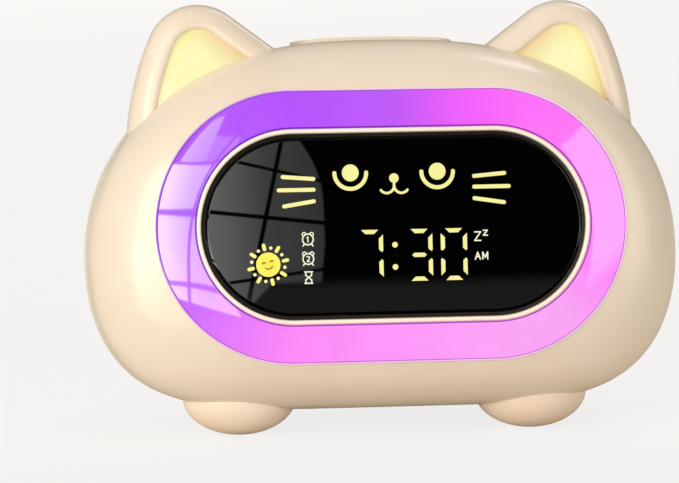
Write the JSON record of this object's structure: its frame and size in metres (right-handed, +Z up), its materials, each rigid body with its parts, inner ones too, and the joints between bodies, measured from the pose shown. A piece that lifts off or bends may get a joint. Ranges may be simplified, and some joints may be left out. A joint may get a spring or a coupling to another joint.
{
  "type": "kids alarm clock with night light",
  "caption": "Cat-eared alarm clock with a lit ring round a black digital display, glowing ears, paws, top and rear keys, and a battery door.",
  "frame": {"origin": "middle of the footprint, on the surface the clock stands on", "axes": "+X to the right seen from the front, +Y to the rear, +Z up; the case leans back 10 degrees"},
  "size_m": [0.1402, 0.062, 0.1005],
  "materials": {
    "battery": "printed sleeve",
    "black_lens": "high gloss",
    "chip": "moulded black",
    "circuit_board": "solder mask",
    "cream_bezel": "gloss",
    "cream_ear": "fine satin",
    "cream_keys": "satin",
    "cream_shell": "fine satin",
    "ear_diffuser": "frosted, lit from behind",
    "lamp": "clear resin",
    "lit_window": "lit from behind",
    "magnet": "plated",
    "mesh_cloth": "fine mesh",
    "paw": "soft satin",
    "plunger": "moulded",
    "ring_diffuser": "gloss, lit from behind",
    "rubber": "matt",
    "speaker_basket": "black",
    "speaker_paper": "paper",
    "steel": "zinc plated",
    "white_plastic": "matt white",
    "wire": "soft insulation"
  },
  "bodies": {
    "case": {"battery_cells": "battery", "board_chips": "chip", "board_screws": "steel", "case_screws": "steel", "colon_windows": "lit_window", "contact_plates": "steel", "contact_springs": "steel", "digit_windows": "lit_window", "display_bezel": "cream_bezel", "display_board": "circuit_board", "display_leds": "lamp", "display_lens": "black_lens", "display_light_block": "white_plastic", "ear_back_left": "cream_ear", "ear_back_right": "cream_ear", "ear_front_left": "cream_ear", "ear_front_right": "cream_ear", "ear_led_board_left": "circuit_board", "ear_led_board_right": "circuit_board", "ear_leds": "lamp", "ear_lens_left": "ear_diffuser", "ear_lens_right": "ear_diffuser", "face_windows": "lit_window", "front_paw_left": "paw", "front_paw_right": "paw", "front_shell": "cream_shell", "icon_windows": "lit_window", "key_board": "circuit_board", "key_switches": "chip", "leads": "wire", "light_ring": "ring_diffuser", "power_board": "circuit_board", "power_socket": "steel", "rear_pads": "rubber", "rear_shell": "cream_shell", "ribbon_cable": "wire", "ring_led_board": "circuit_board", "ring_leds": "lamp", "ring_tray": "white_plastic", "speaker_cone": "speaker_paper", "speaker_frame": "speaker_basket", "speaker_magnet": "magnet", "speaker_mesh": "mesh_cloth", "sun_windows": "lit_window", "top_key_board": "circuit_board", "top_key_switch": "chip", "tray_screws": "steel"},
    "top_key": {"top_key": "cream_keys", "top_key_plunger": "plunger"},
    "battery_door": {"battery_door": "cream_shell"},
    "rear_key_1": {"rear_key_1": "cream_keys", "key_plunger_1": "plunger"},
    "rear_key_2": {"rear_key_2": "cream_keys", "key_plunger_2": "plunger"},
    "rear_key_3": {"rear_key_3": "cream_keys", "key_plunger_3": "plunger"},
    "rear_key_4": {"rear_key_4": "cream_keys", "key_plunger_4": "plunger"},
    "rear_key_5": {"rear_key_5": "cream_keys", "key_plunger_5": "plunger"}
  },
  "joints": [
    {"name": "top_key_press", "type": "slide", "parent": "case", "child": "top_key", "axis": [0, -0.1736, -0.9848], "range_m": [0, 0.001], "stiffness_N_per_m": 600, "springref_m": -0.001},
    {"name": "rear_key_1_press", "type": "slide", "parent": "case", "child": "rear_key_1", "axis": [0, -0.9848, 0.1736], "range_m": [0, 0.0006], "stiffness_N_per_m": 500, "springref_m": -0.001},
    {"name": "rear_key_2_press", "type": "slide", "parent": "case", "child": "rear_key_2", "axis": [0, -0.9848, 0.1736], "range_m": [0, 0.0006], "stiffness_N_per_m": 500, "springref_m": -0.001},
    {"name": "rear_key_3_press", "type": "slide", "parent": "case", "child": "rear_key_3", "axis": [0, -0.9848, 0.1736], "range_m": [0, 0.0006], "stiffness_N_per_m": 500, "springref_m": -0.001},
    {"name": "rear_key_4_press", "type": "slide", "parent": "case", "child": "rear_key_4", "axis": [0, -0.9848, 0.1736], "range_m": [0, 0.0006], "stiffness_N_per_m": 500, "springref_m": -0.001},
    {"name": "rear_key_5_press", "type": "slide", "parent": "case", "child": "rear_key_5", "axis": [0, -0.9848, 0.1736], "range_m": [0, 0.0006], "stiffness_N_per_m": 500, "springref_m": -0.001},
    {"name": "battery_door_hinge", "type": "hinge", "parent": "case", "child": "battery_door", "pos_m": [-0.0195, 0.02227, 0.02078], "axis": [-1, 0, 0], "range_deg": [0, 60]}
  ]
}
